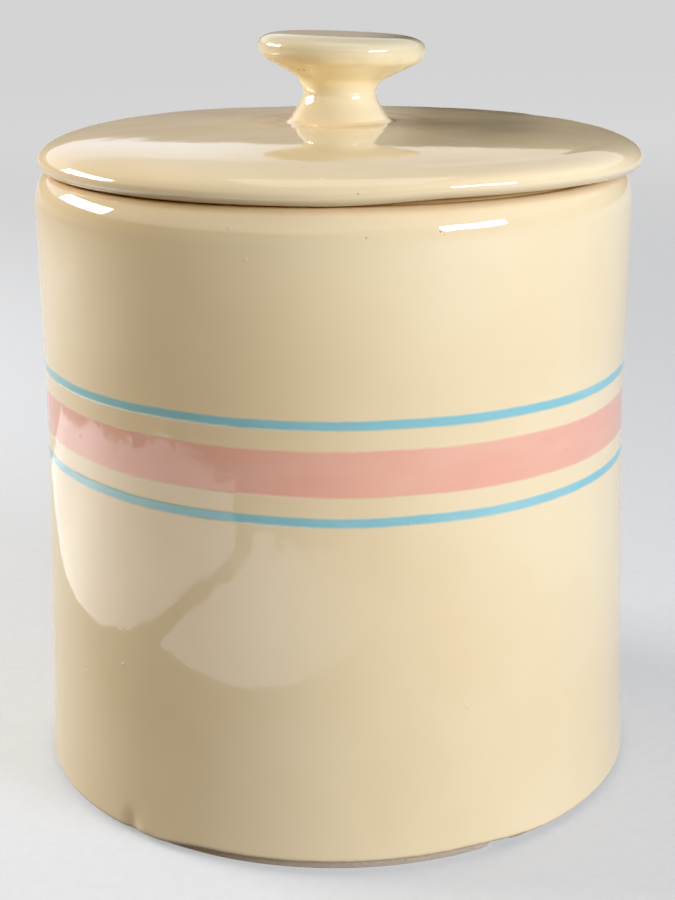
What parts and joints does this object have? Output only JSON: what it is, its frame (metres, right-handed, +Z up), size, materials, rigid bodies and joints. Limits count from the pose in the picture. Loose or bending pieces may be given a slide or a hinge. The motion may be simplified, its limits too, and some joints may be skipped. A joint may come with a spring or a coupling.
{
  "type": "biscuit jar",
  "caption": "Round glazed stoneware storage jar with a loose saucer-shaped lid, a mushroom knob and a coloured band between thin lines.",
  "frame": {"origin": "centre of the foot ring, on the surface that the jar stands on", "axes": "+Z up along the axis of the jar, -Y towards the viewer, +X to the viewer's right"},
  "size_m": [0.1942, 0.1942, 0.2351],
  "materials": {
    "jar_glaze": "glossy cream glaze over stoneware, with a matt pink band between thin sky-blue lines and a bare foot ring",
    "lid_glaze": "glossy cream glaze over stoneware"
  },
  "bodies": {
    "jar": {"jar": "jar_glaze"},
    "lid": {"lid": "lid_glaze"}
  },
  "joints": [
    {"name": "lid_lift", "type": "slide", "parent": "jar", "child": "lid", "axis": [0, 0, 1], "range_m": [0, 0.2]}
  ]
}
